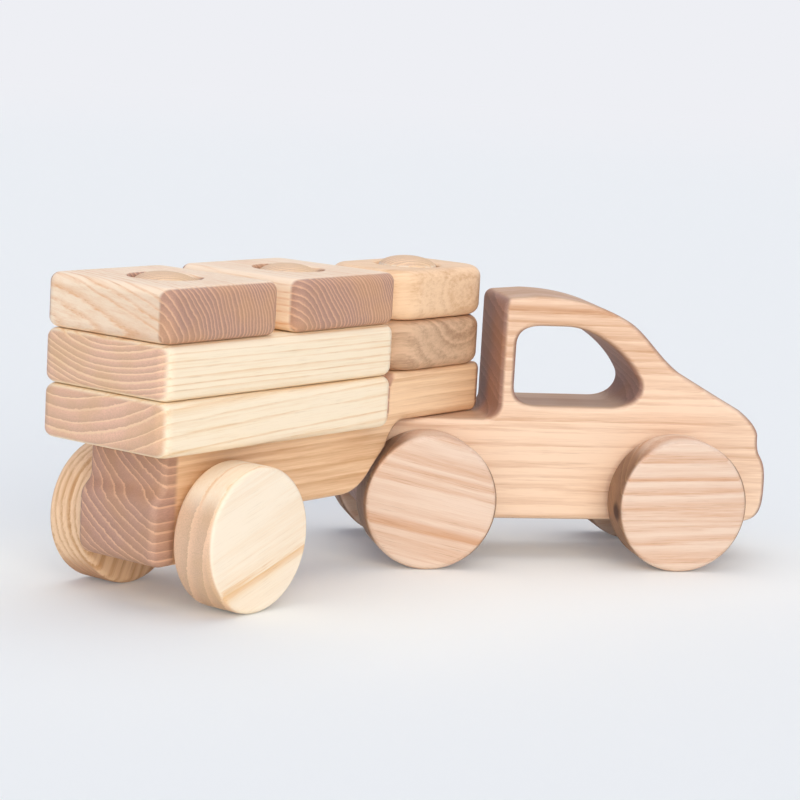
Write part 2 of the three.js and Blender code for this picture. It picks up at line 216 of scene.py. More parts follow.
def heights():
    """Levels that follow from the sizes: axle, keel, deck, roof, bed, neck and the tops of the posts."""
    s = sizes()
    axle = s.wheel_diameter / 2
    deck = s.wheel_diameter + s.deck_above_wheels
    bed = deck + s.bed_above_deck
    neck_bottom = deck + s.seat_gap
    layer = s.board_thickness + s.seat_gap
    return {
        "axle": axle,
        "keel": axle - s.keel_below_axle,
        "deck": deck,
        "roof": deck + s.roof_above_deck,
        "bed": bed,
        "bed_bottom": bed - s.bed_thickness,
        "neck_bottom": neck_bottom,
        "neck_top": neck_bottom + s.neck_thickness,
        "layer": layer,
        "post_top": bed + 3 * layer + s.post_proud,
    }


class Pen:
    """Draws a closed outline in a plane as numpy points, one stretch after another."""

    def __init__(self, x, z):
        self.at = np.array([x, z], float)
        self.stretches = [self.at[None]]

    def add(self, points):
        self.stretches.append(points)
        self.at = points[-1]
        return self

    def line(self, x, z, steps=1):
        """Straight line: the two ends blended in equal steps."""
        t = np.linspace(0, 1, steps + 1)[1:, None]
        return self.add(self.at + t * (np.array([x, z]) - self.at))

    def curve(self, *handles, steps=CURVE_STEPS):
        """Bezier curve of any degree: handles weighted by Bernstein's polynomials."""
        points = np.array([self.at, *handles], float)
        degree = len(points) - 1
        t = np.linspace(0, 1, steps + 1)[1:]
        weights = [math.comb(degree, i) * t**i * (1 - t) ** (degree - i) for i in range(degree + 1)]
        return self.add(np.stack(weights, 1) @ points)

    def arc(self, x, z, radius, start, end, steps=CORNER_STEPS):
        """Arc about a centre, between two angles in degrees."""
        t = np.radians(np.linspace(start, end, steps + 1))
        return self.add(np.stack([x + radius * np.cos(t), z + radius * np.sin(t)], 1))

    def closed(self):
        """All points in order, with any that repeat the one before left out."""
        points = np.concatenate(self.stretches)
        gap = np.linalg.norm(points - np.roll(points, 1, axis=0), axis=1)
        return points[gap > 1e-7]


def circle(x, y, radius, sides, backwards=False):
    t = np.linspace(0, 2 * np.pi, sides, endpoint=False)
    t = -t if backwards else t
    return np.stack([x + radius * np.cos(t), y + radius * np.sin(t)], 1)


def rounded_rectangle(length_x, length_y, radius):
    """A rectangle about the origin, anticlockwise, with four quarter arcs as corners."""
    x, y = length_x / 2 - radius, length_y / 2 - radius
    pen = Pen(x, -y - radius)
    pen.arc(x, -y, radius, -90, 0).arc(x, y, radius, 0, 90)
    pen.arc(-x, y, radius, 90, 180).arc(-x, -y, radius, 180, 270)
    return pen.closed()


def inward(outline):
    """Left-hand normals of a closed outline, lengthened at corners so that an inset keeps its distance."""
    step = np.roll(outline, -1, axis=0) - outline
    step /= np.linalg.norm(step, axis=1, keepdims=True)
    both = step + np.roll(step, 1, axis=0)
    normal = np.stack([-both[:, 1], both[:, 0]], 1)
    return 2 * normal / np.maximum((both**2).sum(1, keepdims=True), 1.0)


class Shell:
    """Gathers grids of points and flat caps into one closed mesh."""

    def __init__(self):
        self.points = np.zeros((0, 3))
        self.faces = []
        self.smooth = []

    def put(self, points):
        start = len(self.points)
        self.points = np.concatenate([self.points, points.reshape(-1, 3)])
        return start + np.arange(len(points.reshape(-1, 3))).reshape(points.shape[:-1])

    def band(self, grid, leave_out=(), flat_rows=()):
        """Quads between neighbouring rows of a grid whose columns close round.

        leave_out holds the (row, column) of quads that stay open, flat_rows the rows that aren't smoothed."""
        ids = self.put(grid)
        after = np.roll(ids, -1, axis=1)
        quads = np.stack([ids[:-1], after[:-1], after[1:], ids[1:]], -1)
        keep = np.ones(quads.shape[:2], bool)
        for row, column in leave_out:
            keep[row, column] = False
        smooth = np.ones(quads.shape[:2], bool)
        smooth[list(flat_rows)] = False
        self.faces += quads[keep].tolist()
        self.smooth += smooth[keep].tolist()
        return ids

    def cap(self, *rings):
        """A flat face between one outer ring of point numbers and any rings inside it."""
        numbers = np.concatenate(rings)
        loops = [[tuple(self.points[i]) for i in ring] for ring in rings]
        self.faces += [[int(numbers[i]) for i in face] for face in tessellate_polygon(loops)]
        self.smooth += [False] * (len(self.faces) - len(self.smooth))

    def quads(self, faces, smooth):
        self.faces += faces
        self.smooth += [smooth] * len(faces)

    def piece(self, name, place, body, nodes, slot, material):
        """Makes the object: places the points, closes the seams, turns the faces out and tells the frame."""
        points = place(self.points)
        mesh = bpy.data.meshes.new(name)
        mesh.from_pydata(points.tolist(), [], self.faces)
        mesh.polygons.foreach_set("use_smooth", self.smooth)
        work = bmesh.new()
        work.from_mesh(mesh)
        bmesh.ops.remove_doubles(work, verts=work.verts, dist=WELD)
        bmesh.ops.dissolve_degenerate(work, edges=work.edges, dist=WELD / 2)
        bmesh.ops.recalc_face_normals(work, faces=work.faces)
        loose = [e for e in work.edges if not e.is_manifold]
        if loose:
            raise RuntimeError(f"{name} has {len(loose)} open edges")
        work.to_mesh(mesh)
        work.free()
        mesh.set_sharp_from_angle(angle=SHARP_ANGLE)
        mesh.materials.append(material)
        made = bpy.data.objects.new(name, mesh)
        bpy.context.scene.collection.objects.link(made)
        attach(made, body)
        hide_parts(*nodes)
        return made


def in_cab(points):
    """Cab points, measured from under its rear axle, in the row frame."""
    return points + np.array([REAR_AXLE[0], REAR_AXLE[1], 0])


def in_trailer(points):
    """Trailer points, measured from under the kingpin, turned by the swing into the row frame."""
    c, s = math.cos(SWING), math.sin(SWING)
    turned = points @ np.array([[c, s, 0], [-s, c, 0], [0, 0, 1]])
    return turned + np.array([KINGPIN[0], KINGPIN[1], 0])


def rounded_rows(outline, half, edge):
    """Rows of an outline carried round a slab's section, as (row, point, (u, v, w)).

    Each row is the outline drawn in by edge * (1 - sin a) at the height half - edge + edge * cos a,
    with a from the face to the side, and a supporting row close to each end of the straight side."""
    a = np.linspace(0, np.pi / 2, EDGE_STEPS + 1)
    inset = np.append(edge * (1 - np.sin(a)), 0.0)
    height = np.append(half - edge + edge * np.cos(a), half - edge - SUPPORT)
    inset = np.concatenate([inset, inset[::-1]])
    height = np.concatenate([-height, height[::-1]])
    flat = outline[None] + inward(outline)[None] * inset[:, None, None]
    return np.concatenate([flat, np.broadcast_to(height[:, None, None], flat.shape[:2] + (1,))], 2)


def turned_rows(profile, sides):
    """A profile of (radius, height) points turned about an axis: radius * (cos t, sin t) at each height."""
    t = np.linspace(0, 2 * np.pi, sides, endpoint=False)
    radius, height = profile[:, :1], profile[:, 1:]
    height = np.broadcast_to(height, (len(profile), sides))
    return np.stack([radius * np.cos(t), radius * np.sin(t), height], -1)


def turned(profile, sides):
    """A closed turned piece on the third axis; its flat faces stay flat."""
    profile = np.array(profile, float)
    shell = Shell()
    level = np.abs(np.diff(profile[:, 1])) < 1e-9
    shell.band(turned_rows(profile, sides), flat_rows=np.nonzero(level)[0])
    return shell


def quarter(x, y, radius, start, end):
    """Points on a quarter circle, for turned profiles."""
    t = np.radians(np.linspace(start, end, EDGE_STEPS + 1))
    return list(np.stack([x + radius * np.cos(t), y + radius * np.sin(t)], 1))


def drill(shell, quad, x, radius, top, bottom, through=None):
    """A round hole down from a flat face that was left open at quad: collar, wall and floor.

    Where through gives the open quad of the face below, a second collar takes the floor's place."""
    rim = np.concatenate([circle(x, 0, radius, ROUND_SIDES), np.full((ROUND_SIDES, 1), top)], 1)
    low = rim.copy()
    low[:, 2] = bottom
    ids = shell.band(np.stack([rim, low]))
    shell.cap(np.array(quad), ids[0])
    if through is None:
        shell.cap(ids[1])
    else:
        shell.cap(np.array(through), ids[1])


def plank(outline, windows, bores, half, edge, drilled):
    """A plank on edge: outline and windows with rounded edges, axle bores and holes from above.

    drilled holds (x, level, half_width) for each flat stretch of the outline that a hole is cut from."""
    shell = Shell()

    def stand(grid):
        return grid[..., [0, 2, 1]]

    middle = EDGE_STEPS + 1
    gaps = []
    for x, level, reach in drilled:
        on_level = np.abs(outline[:, 1] - level) < 1e-6
        start = np.nonzero(on_level & np.isclose(np.abs(outline[:, 0] - x), reach, atol=1e-6))[0]
        gaps.append(int(start.min()))
    rows = rounded_rows(outline, half, edge)
    around = shell.band(stand(rows), leave_out=[(middle, g) for g in gaps])
    openings = [
        [around[middle, g], around[middle, (g + 1) % len(outline)],
         around[middle + 1, (g + 1) % len(outline)], around[middle + 1, g]]
        for g in gaps
    ]
    rings = [around]
    for window in windows:
        rings.append(shell.band(stand(rounded_rows(window, half, edge))))
    for bore in bores:
        wall = np.stack([np.concatenate([bore, np.full((len(bore), 1), h)], 1) for h in (-half, half)])
        rings.append(shell.band(stand(wall)))
    return shell, rings, openings


def build_cab_outline():
    """The cab's side view: keel, bumper, nose, bonnet, windscreen, roof, back wall and deck."""
    s, h = sizes(), heights()
    deck, keel, roof = h["deck"], h["keel"], h["roof"]
    rear = -s.cab_rear_overhang
    nose = WHEELBASE + NOSE_OVERHANG
    bumper = nose + BUMPER_REACH
    nose_top = deck - 5 * MM
    notch = deck - 14 * MM
    bonnet = nose - BONNET_LENGTH
    bonnet_top = deck + BONNET_RISE
    brow = bonnet - WINDSCREEN_RUN
    wall, fillet = s.back_wall, s.deck_fillet
    low, high = 10 * MM, 5 * MM
    reach = s.post_diameter / 2 + 1 * MM
    pen = Pen(rear + low, keel)
    pen.line(nose - BUMPER_REACH, keel, 8)
    pen.curve((bumper - MM, keel + MM), (bumper, keel + 7 * MM), (bumper, keel + 16 * MM))
    pen.curve((bumper, notch - 6 * MM), (bumper - MM, notch - 4 * MM), (nose + 1.5 * MM, notch), steps=12)
    pen.curve((nose, notch + 2.5 * MM), (nose, nose_top), steps=8)
    pen.curve((nose - MM, nose_top + 5 * MM), (nose - 10 * MM, nose_top + 11.5 * MM), steps=12)
    pen.curve((nose - 24 * MM, bonnet_top - 9 * MM), (bonnet, bonnet_top))
    pen.curve(
        (bonnet - 10 * MM, bonnet_top + 7 * MM), (brow + 20 * MM, roof - 16 * MM),
        (brow + 12 * MM, roof - 11 * MM),
    )
    pen.curve((brow, roof - 4 * MM), (brow - 14 * MM, roof), (brow - 32 * MM, roof))
    pen.line(wall + 5 * MM, roof - MM)
    pen.curve((wall, roof - MM), (wall, roof - 6 * MM), steps=CORNER_STEPS)
    pen.line(wall, deck + fillet)
    pen.arc(wall - fillet, deck + fillet, fillet, 0, -90)
    pen.line(HITCH_X + reach, deck).line(HITCH_X - reach, deck)
    pen.line(rear + high, deck).arc(rear + high, deck - high, high, 90, 180)
    pen.line(rear, keel + low).arc(rear + low, keel + low, low, 180, 270)
    return pen.closed(), reach


def build_cab_window():
    """The window, clockwise: upright behind, raked with the windscreen in front, level at the sill."""
    s, h = sizes(), heights()
    back = s.back_wall + 7 * MM
    bonnet = WHEELBASE + NOSE_OVERHANG - BONNET_LENGTH
    front = bonnet - 18.5 * MM
    sill = h["deck"] + 6.5 * MM
    header = h["roof"] - 13.5 * MM
    corner = 9 * MM
    rake = bonnet - WINDSCREEN_RUN - 18 * MM
    pen = Pen(back, sill + corner)
    pen.line(back, header - corner)
    pen.curve((back, header), (back + 1.3 * corner, header), steps=CORNER_STEPS)
    pen.line(rake, header)
    pen.curve(
        (rake + 14 * MM, header), (front - 7 * MM, header - 12 * MM), (front - 1.5 * MM, header - 22 * MM),
    )
    pen.curve((front + 2.5 * MM, sill + 8 * MM), (front - 2 * MM, sill), (front - 1.5 * corner, sill))
    pen.line(back + 1.3 * corner, sill)
    pen.curve((back, sill), (back, sill + corner), steps=CORNER_STEPS)
    return pen.closed()


class Wire:
    """A shader socket in an expression: arithmetic on it adds Math nodes, and node() adds any other."""

    def __init__(self, tree, socket=None):
        self.tree = tree
        self.socket = socket

    def node(self, kind, settings=None, inputs=None, output=0):
        """A node of that type, with its settings put first and then its sockets' values or links."""
        made = self.tree.nodes.new(kind)
        for key, value in (settings or {}).items():
            setattr(made, key, value)
        for key, value in (inputs or {}).items():
            if isinstance(value, Wire):
                self.tree.links.new(value.socket, made.inputs[key])
            else:
                made.inputs[key].default_value = value
        return Wire(self.tree, made.outputs[output] if made.outputs else None)

    def math(self, operation, *values):
        return self.node("ShaderNodeMath", {"operation": operation}, dict(enumerate(values)))

    def __add__(self, other):
        return self.math("ADD", self, other)

    def __sub__(self, other):
        return self.math("SUBTRACT", self, other)

    def __mul__(self, other):
        return self.math("MULTIPLY", self, other)

    def __truediv__(self, other):
        return self.math("DIVIDE", self, other)

    def __rsub__(self, other):
        return self.math("SUBTRACT", other, self)

    __radd__ = __add__
    __rmul__ = __mul__

    def step(self, low, high):
        """0 below low, 1 above high, and a smooth step between them; it falls where low is the larger."""
        ends = {0: self, 1: low, 2: high, 3: 0.0, 4: 1.0}
        return self.node("ShaderNodeMapRange", {"interpolation_type": "SMOOTHSTEP"}, ends)

    def vector(self, operation, *values, output=0):
        inputs = dict(enumerate((self, *values)))
        return self.node("ShaderNodeVectorMath", {"operation": operation}, inputs, output)

    def scaled(self, *factors):
        return self.vector("MULTIPLY", factors)

    def noise(self, detail=2.0, roughness=0.5, output=0):
        return self.node(
            "ShaderNodeTexNoise", {"noise_dimensions": "3D"},
            {"Vector": self, "Scale": 1.0, "Detail": detail, "Roughness": roughness}, output,
        )

    def blend(self, first, second):
        """Colour mix, with this value as the share of the second."""
        inputs = {0: self, 6: rgba(first), 7: rgba(second)}
        return self.node("ShaderNodeMix", {"data_type": "RGBA"}, inputs, 2)


def rgba(value):
    return value if isinstance(value, Wire) else (*value, 1.0)


def wood_axes(grain):
    """A right-handed frame whose third axis runs along the grain."""
    third = np.array(grain, float) / np.linalg.norm(grain)
    helper = np.array([0, 0, 1.0]) if abs(third[2]) < 0.9 else np.array([1.0, 0, 0])
    first = np.cross(helper, third)
    first /= np.linalg.norm(first)
    return np.stack([first, np.cross(third, first), third], 1)


# Patterns in the wood, in cycles per millimetre across and along the grain
QUICK_WAVES = (1 / 5, 1 / 5, 1 / 60)
FIBRES = (0.65, 0.65, 0.02)
HAIRS = (2.4, 2.4, 0.07)
DRIFT = (1 / 22, 1 / 22, 1 / 150)
SPECKS = (2.2, 2.2, 0.5)

# How much darker pores, the sawn sides (partly their own tone, partly painted shade) and the late end of a
# year are, and how much lighter its first line is
PORE_SHADE = 0.6
SAWN_PAINTED_SHADE = 0.55
END_SHADE = 0.64
OILED_SHADE = 0.8
LIGHT_LINE = (1.32, 1.42, 1.22)


def shade(tone, factor):
    return tuple(c * factor for c in tone)


def ash(
    name, place, tone, grain, pith, ring, crowd=0.0, bend=5.0, wave=55.0, reach=260.0, fray=1.0, contrast=1.0,
    width=0.25, lines=1.0, bite=(0.42, 0.77), sawn=0.0, heart=None, streak=1.5, soak=None, knot=None,
):
    """Oiled ash as a solid: growth rings about a pith line, spring-wood pores, fibres and darker end grain.

    place takes the piece's own frame to the row frame; grain is the direction of the pith line there and
    pith a point on it in millimetres. ring is the width of a year's growth at the pith, in millimetres, and
    crowd how fast the years crowd together outwards. bend, wave and reach are the height of the slow waves
    that bend them and their length across and along the grain, and fray roughens their edges. contrast is
    the strength of the spring wood, width its share of a year and lines the strength of the light lines on
    end grain. bite says how square a cut starts and ends to count as end grain, and sawn how
    dark the sides are that a plank's flat faces meet, partly their own tone and partly painted shade.
    heart holds two distances from the pith between which the wood darkens and by how
    much: a darker heart on the cab, and on the trailer painted shade on the lower sides that leaves the neck
    painted lighter. streak is the strength of the fibres, soak holds the places along the pith line
    where the end-grain tone starts to spread over every face and where it covers them, and knot is the
    place of a small dark knot in millimetres."""
    f = finish()
    late, early, end = (tuple(getattr(f, tone + part)) for part in ("_late", "_early", "_end"))
    origin = place(np.array([pith], float) * MM)[0]
    zero = place(np.zeros((1, 3)))[0]
    axes = wood_axes(place(np.array([grain], float))[0] - zero)
    material = bpy.data.materials.new(name)
    material.use_nodes = True
    tree = material.node_tree
    shader = tree.nodes["Principled BSDF"]
    new = Wire(tree)
    spot = new.node("ShaderNodeTexCoord", output=3)
    facing = new.node("ShaderNodeTexCoord", output=1)
    q = new.node(
        "ShaderNodeMapping", {"vector_type": "TEXTURE"},
        {"Vector": spot, "Location": origin, "Rotation": Matrix(axes).to_euler(), "Scale": (MM, MM, MM)},
    )
    # Slow waves bend the rings; quick ones roughen their edges
    slow = q.scaled(1 / wave, 1 / wave, 1 / reach).noise(2.0, 0.5, 1)
    slow = slow.vector("MULTIPLY_ADD", (bend,) * 3, q)
    quick = q.scaled(*QUICK_WAVES).noise(2.0, 0.6, 1)
    bent = quick.vector("MULTIPLY_ADD", (fray,) * 3, slow)
    radius = bent.vector("MULTIPLY", (1.0, 1.0, 0.0)).vector("LENGTH", output=1)
    fibre = q.scaled(*FIBRES).noise(4.0, 0.75)
    hair = q.scaled(*HAIRS).noise(3.0, 0.6)
    uneven = new.node(
        "ShaderNodeTexNoise", {"noise_dimensions": "1D"}, {"W": radius / 9.0, "Scale": 1.0, "Detail": 1.0},
    )
    years = radius / ring * (radius * crowd + 1.0) + uneven * 1.3 + (fibre - 0.5) * (0.4 * fray)
    phase = years.math("FRACT", years)
    year = years.math("FLOOR", years)
    vigour = new.node("ShaderNodeTexWhiteNoise", {"noise_dimensions": "1D"}, {"W": year})
    strong = vigour * 0.6 + 0.4
    # Each year starts with spring wood, a feathered line of open pores that fades into dense summer wood
    onset = phase.step(0.0, 0.8 * width)
    spring = onset * phase.step(2.2 * width, 0.8 * width)
    drift = q.scaled(*DRIFT).noise(2.0, 0.5)
    share = spring * strong * (hair * 0.9 + 0.4) * contrast + (fibre - 0.5) * streak + (drift - 0.45) * 0.8
    # Beyond two distances from the pith the wood darkens: a darker heart on the cab, painted shade on the
    # trailer's lower sides that leaves its neck painted lighter
    if heart:
        share = share + radius.step(*heart[:2]) * heart[2]
    long_grain = share.blend(late, early)
    pores = hair.step(0.55, 0.7) * (spring * 0.5 + 0.3)
    long_grain = (pores * (0.5 * min(contrast, 1.0))).blend(long_grain, shade(early, PORE_SHADE))
    # Painted shade, partly the sawn wood's own tone: the faces round a plank's outline are darkened, standing
    # in for the shade in the cab's window and on its back wall
    if sawn:
        sideways = tuple(place(np.array([(0, 1.0, 0)]))[0] - zero)
        shaded_flank = facing.vector("DOT_PRODUCT", sideways, output=1)
        shaded_flank = shaded_flank.math("ABSOLUTE", shaded_flank).step(0.8, 0.3)
        long_grain = (shaded_flank * sawn).blend(long_grain, shade(early, SAWN_PAINTED_SHADE))
    # End grain drinks more oil: each year darkens outwards and starts again with a light line
    across = facing.vector("DOT_PRODUCT", tuple(axes[:, 2]), output=1)
    cut = across.math("ABSOLUTE", across).step(*bite)
    # Past the given places along the pith line the end-grain tone spreads over every face near that end
    if soak:
        along = q.vector("DOT_PRODUCT", (0.0, 0.0, 1.0), output=1)
        cut = cut.math("MAXIMUM", cut, along.step(*soak))
    speck = q.scaled(*SPECKS).noise(3.0, 0.6)
    ground = (phase * 0.7 + (speck - 0.5) * 1.3).blend(end, shade(end, END_SHADE))
    ground = (drift.step(0.4, 0.7) * 0.45).blend(ground, shade(early, OILED_SHADE))
    within = phase * ring / (radius * (2 * crowd) + 1.0)
    light_line = within.step(0.0, 0.25) * within.step(1.0, 0.35) * (strong * 0.55 + 0.35) * lines
    end_grain = light_line.blend(ground, tuple(min(c * k, 1.0) for c, k in zip(end, LIGHT_LINE)))
    tone_wire = cut.blend(long_grain, end_grain)
    if knot is not None:
        middle = tuple(place(np.array([knot], float) * MM)[0])
        far = spot.vector("DISTANCE", middle, output=1) / MM + (hair - 0.5) * 2.0
        tone_wire = (far.step(6.0, 2.0) * 0.95).blend(tone_wire, tuple(f.knot))
    tree.links.new(tone_wire.socket, shader.inputs["Base Color"])
    rough = 0.5 + (fibre - 0.5) * 0.25 + cut * 0.12
    tree.links.new(rough.socket, shader.inputs["Roughness"])
    height = fibre * 0.5 - pores * 0.8
    bump = new.node("ShaderNodeBump", inputs={"Strength": 0.1, "Distance": 0.0003, "Height": height})
    tree.links.new(bump.socket, shader.inputs["Normal"])
    shader.inputs["Specular IOR Level"].default_value = 0.4
    return material


# How the planks were cut
CAB_CUT = {
    "bend": 5.0, "fray": 1.8, "contrast": 0.5, "width": 0.4, "lines": 0.25, "bite": (0.15, 0.7),
    # The cab's outline faces get painted shade for its window and back wall, partly their own tone; its heart
    # is darker wood
    "sawn": 0.45, "heart": (235.0, 285.0, 0.35),
}
TRAILER_CUT = {
    "bend": 6.0, "fray": 1.2, "contrast": 0.45, "width": 0.4, "lines": 1.1, "bite": (0.1, 0.4),
    # Painted light: the trailer darkens away from the pith, so its neck stays lighter than the sides below
    "heart": (45.0, 68.0, 0.4), "soak": (-77.0, -80.0),
}


class TRUCK_OT_cab(bpy.types.Operator):
    """Saws the cab out of one thick plank"""

    bl_idname = "truck.cab"
    bl_label = "Cab"

    def execute(self, context):
        s, h = sizes(), heights()
        half = s.plank_thickness / 2
        outline, reach = build_cab_outline()
        bore = s.axle_diameter / 2 + s.axle_clearance
        bores = [circle(x, h["axle"], bore, ROUND_SIDES, True) for x in (0, WHEELBASE)]
        shell, rings, openings = plank(
            outline, [build_cab_window()], bores, half, s.plank_edge, [(HITCH_X, h["deck"], reach)],
        )
        shell.cap(*[ring[0] for ring in rings])
        shell.cap(*[ring[-1] for ring in rings])
        hole = s.post_diameter / 2 + KINGPIN_CLEARANCE
        drill(shell, openings[0], HITCH_X, hole, h["deck"], h["deck"] - KINGPIN_HOLE_DEPTH)
        material = ash("cab_wood", in_cab, "cab", (1, 0, 0), (60, 60, -150), 5.2, **CAB_CUT)
        shell.piece("cab_plank", in_cab, "cab", ["cab_body"], "cab_ash", material)
        return {"FINISHED"}


def swing_limit(level):
    """How far forward the trailer's underside may reach at a level and clear the cab's wheel when swung."""
    s, axle = sizes(), heights()["axle"]
    chord = math.sqrt(axle**2 - (level - axle) ** 2)
    reach = chord + SWING_CLEARANCE + HITCH_X + s.plank_thickness / 2 * math.sin(SWING)
    return -reach / math.cos(SWING)


def build_trailer_outline():
    """The trailer's side view: keel, hull, bed's underside, neck, step, bed and bumper.

    Also returns the drilled stretches, the point where the neck's rounded front starts, and that front's
    place along the trailer and radius in plan."""
    s, h = sizes(), heights()
    keel, bed, under = h["keel"], h["bed"], h["bed_bottom"]
    low_neck, top_neck = h["neck_bottom"], h["neck_top"]
    plan = NECK_CORNER
    swing = s.back_wall - HITCH_X - NECK_TO_WALL - plan
    front = plan + math.sqrt(swing**2 - (s.plank_thickness / 2 - plan) ** 2)
    tail = TRAILER_AXLE_X - TAIL_BEHIND_AXLE
    bumper = tail - TAIL_BUMPER
    notch = bed - 16 * MM
    hull = TRAILER_AXLE_X + HULL_AHEAD
    low, high = under + (low_neck - under) * 0.27, under + (low_neck - under) * 0.62
    low_x, high_x = swing_limit(low), swing_limit(high)
    nose, corner = s.deck_fillet, 4 * MM
    step_x, step_corner = -STEP_BEHIND_KINGPIN, 8 * MM
    posts = post_places()
    reach = s.post_diameter / 2 + 1.2 * MM
    middle = (low_neck + nose + top_neck - corner) / 2
    pen = Pen(bumper + 8 * MM, keel)
    pen.line(hull - 22 * MM, keel, 4)
    pen.curve((hull - 8 * MM, keel), (hull - 12 * MM, under), (hull + 11 * MM, under))
    pen.line(low_x - 16 * MM, under, 4)
    pen.curve((low_x - 6 * MM, under + MM), (low_x, low), steps=12)
    pen.curve((low_x + 4 * MM, low + 4 * MM), (high_x, high), steps=12)
    pen.curve((high_x + 5 * MM, low_neck), (high_x + 13 * MM, low_neck), steps=12)
    pen.line(-reach, low_neck).line(reach, low_neck).line(front - plan, low_neck)
    start = len(np.concatenate(pen.stretches)) - 1
    pen.line(front - nose, low_neck, 4).arc(front - nose, low_neck + nose, nose, -90, 0)
    pen.line(front, middle, 2)
    pen.line(front, top_neck - corner, 2).arc(front - corner, top_neck - corner, corner, 0, 90)
    pen.line(front - plan, top_neck, 4)
    pen.line(reach, top_neck).line(-reach, top_neck).line(step_x + step_corner, top_neck)
    pen.arc(step_x + step_corner, top_neck - step_corner, step_corner, 90, 180)
    pen.line(step_x, bed + corner).arc(step_x - corner, bed + corner, corner, 0, -90)
    for x in (posts["middle_post"], posts["rear_post"]):
        pen.line(x + reach, bed).line(x - reach, bed)
    pen.line(tail + corner, bed).arc(tail + corner, bed - corner, corner, 90, 180)
    pen.line(tail, notch + 3 * MM)
    pen.curve((tail, notch - 2 * MM), (bumper, notch - MM), (bumper, notch - 8 * MM))
    pen.line(bumper, keel + 8 * MM)
    pen.curve((bumper, keel), (bumper + 8 * MM, keel), steps=CORNER_STEPS)
    drilled = [(posts[name], bed, reach) for name in ("rear_post", "middle_post")]
    drilled += [(0, level, reach) for level in (low_neck, top_neck)]
    return pen.closed(), drilled, start, front - plan, plan


def post_places():
    """Post axes along the trailer, from the kingpin."""
    s = sizes()
    centre = -STEP_BEHIND_KINGPIN - BOARDS_BEHIND_STEP - s.board_length / 2
    return {
        "front_post": 0.0,
        "middle_post": centre + s.post_spacing / 2,
        "rear_post": centre - s.post_spacing / 2,
        "boards": centre,
    }


class TRUCK_OT_trailer(bpy.types.Operator):
    """Saws the trailer out of one thick plank and rounds its neck"""

    bl_idname = "truck.trailer"
    bl_label = "Trailer"

    def execute(self, context):
        s, h = sizes(), heights()
        half = s.plank_thickness / 2
        outline, drilled, start, bend_x, plan = build_trailer_outline()
        bore = circle(TRAILER_AXLE_X, h["axle"], s.axle_diameter / 2 + s.axle_clearance, ROUND_SIDES, True)
        shell, rings, openings = plank(outline, [], [bore], half, s.plank_edge, drilled)
        run = 4 + CORNER_STEPS + 2
        for ring, bored in ((rings[0][0], rings[1][0]), (rings[0][-1], rings[1][-1])):
            below = ring[start:start + run + 1]
            above = ring[start + 2 * run:start + run - 1:-1]
            columns = np.stack([below[:-1], below[1:], above[1:], above[:-1]], 1).tolist()
            shell.quads(columns[:-1] + [columns[-1][:3]], True)
            shell.cap(np.concatenate([ring[start + 2 * run:], ring[:start + 1]]), bored)
        wall = s.post_diameter / 2 + s.glue_gap
        seat = h["bed"] - POST_SEAT - s.glue_gap
        posts = post_places()
        drill(shell, openings[0], posts["rear_post"], wall, h["bed"], seat)
        drill(shell, openings[1], posts["middle_post"], wall, h["bed"], seat)
        drill(shell, openings[3], 0, wall, h["neck_top"], h["neck_bottom"], openings[2])
        # In plan the neck's end narrows along a quarter circle at each side
        ahead = np.clip(shell.points[:, 0] - bend_x, 0, plan)
        shell.points[:, 1] *= (half - plan + np.sqrt(plan**2 - ahead**2)) / half
        pith = (-90, -42, 112)
        material = ash("trailer_wood", in_trailer, "trailer", (1, 0, 0), pith, 3.8, **TRAILER_CUT)
        shell.piece("trailer_plank", in_trailer, "trailer", ["trailer_body"], "trailer_ash", material)
        return {"FINISHED"}


class TRUCK_OT_wheelsets(bpy.types.Operator):
    """Turns the wheels and their axles"""

    bl_idname = "truck.wheelsets"
    bl_label = "Wheelsets"

    def execute(self, context):
        s, h = sizes(), heights()
        inner = s.plank_thickness / 2 + s.wheel_side_gap
        radius, rim, thick = s.wheel_diameter / 2, s.wheel_rim, s.wheel_thickness
        socket, depth = s.axle_diameter / 2 + s.glue_gap, s.socket_depth
        disc = [(0, depth), (socket, depth), (socket, 0), (radius - rim - SUPPORT, 0)]
        disc += quarter(radius - rim, rim, rim, -90, 0) + quarter(radius - rim, thick - rim, rim, 0, 90)
        disc += [(0, thick)]
        end = inner + depth - s.glue_gap
        pin = s.axle_diameter / 2
        slope, shoulder = pin - AXLE_CHAMFER, end - AXLE_CHAMFER
        rod = [(0, -end), (slope, -end), (pin, -shoulder), (pin, shoulder), (slope, end), (0, end)]
        sets = [
            ("cab_front_", "front_wheelset", WHEELBASE, in_cab, WHEEL_CUTS["front"]),
            ("cab_rear_", "rear_wheelset", 0.0, in_cab, WHEEL_CUTS["rear"]),
            ("trailer_", "trailer_wheelset", TRAILER_AXLE_X, in_trailer, WHEEL_CUTS["trailer"]),
        ]
        for prefix, body, x, place, cuts in sets:
            hub = np.array([x, 0, h["axle"]])

            def lay(points, side=1, out=0.0):
                """The turned axis laid along Y, with its start at out on that side."""
                return place(points[:, [0, 2, 1]] * (1, side, 1) + (0, side * out, 0) + hub)

            for side, name in ((1, "left_wheel"), (-1, "right_wheel")):
                spot = hub / MM
                cut = dict(cuts[name])
                cut["pith"] = spot + np.array(cut["pith"])
                if "knot" in cut:
                    cut["knot"] = spot + np.array(cut["knot"])
                node = prefix + name
                material = ash(node + "_wood", place, **cut)
                turned(disc, WHEEL_SIDES).piece(
                    node + "_disc", lambda p, i=side: lay(p, i, inner), body, [node], "wheel_ash", material,
                )
            node = prefix + "axle"
            material = ash(node + "_wood", place, "wheel", (0, 1, 0), hub / MM + np.array([9, 0, 5]), 2.5)
            turned(rod, ROUND_SIDES).piece(node + "_rod", lay, body, [node], "dowel_ash", material)
        return {"FINISHED"}


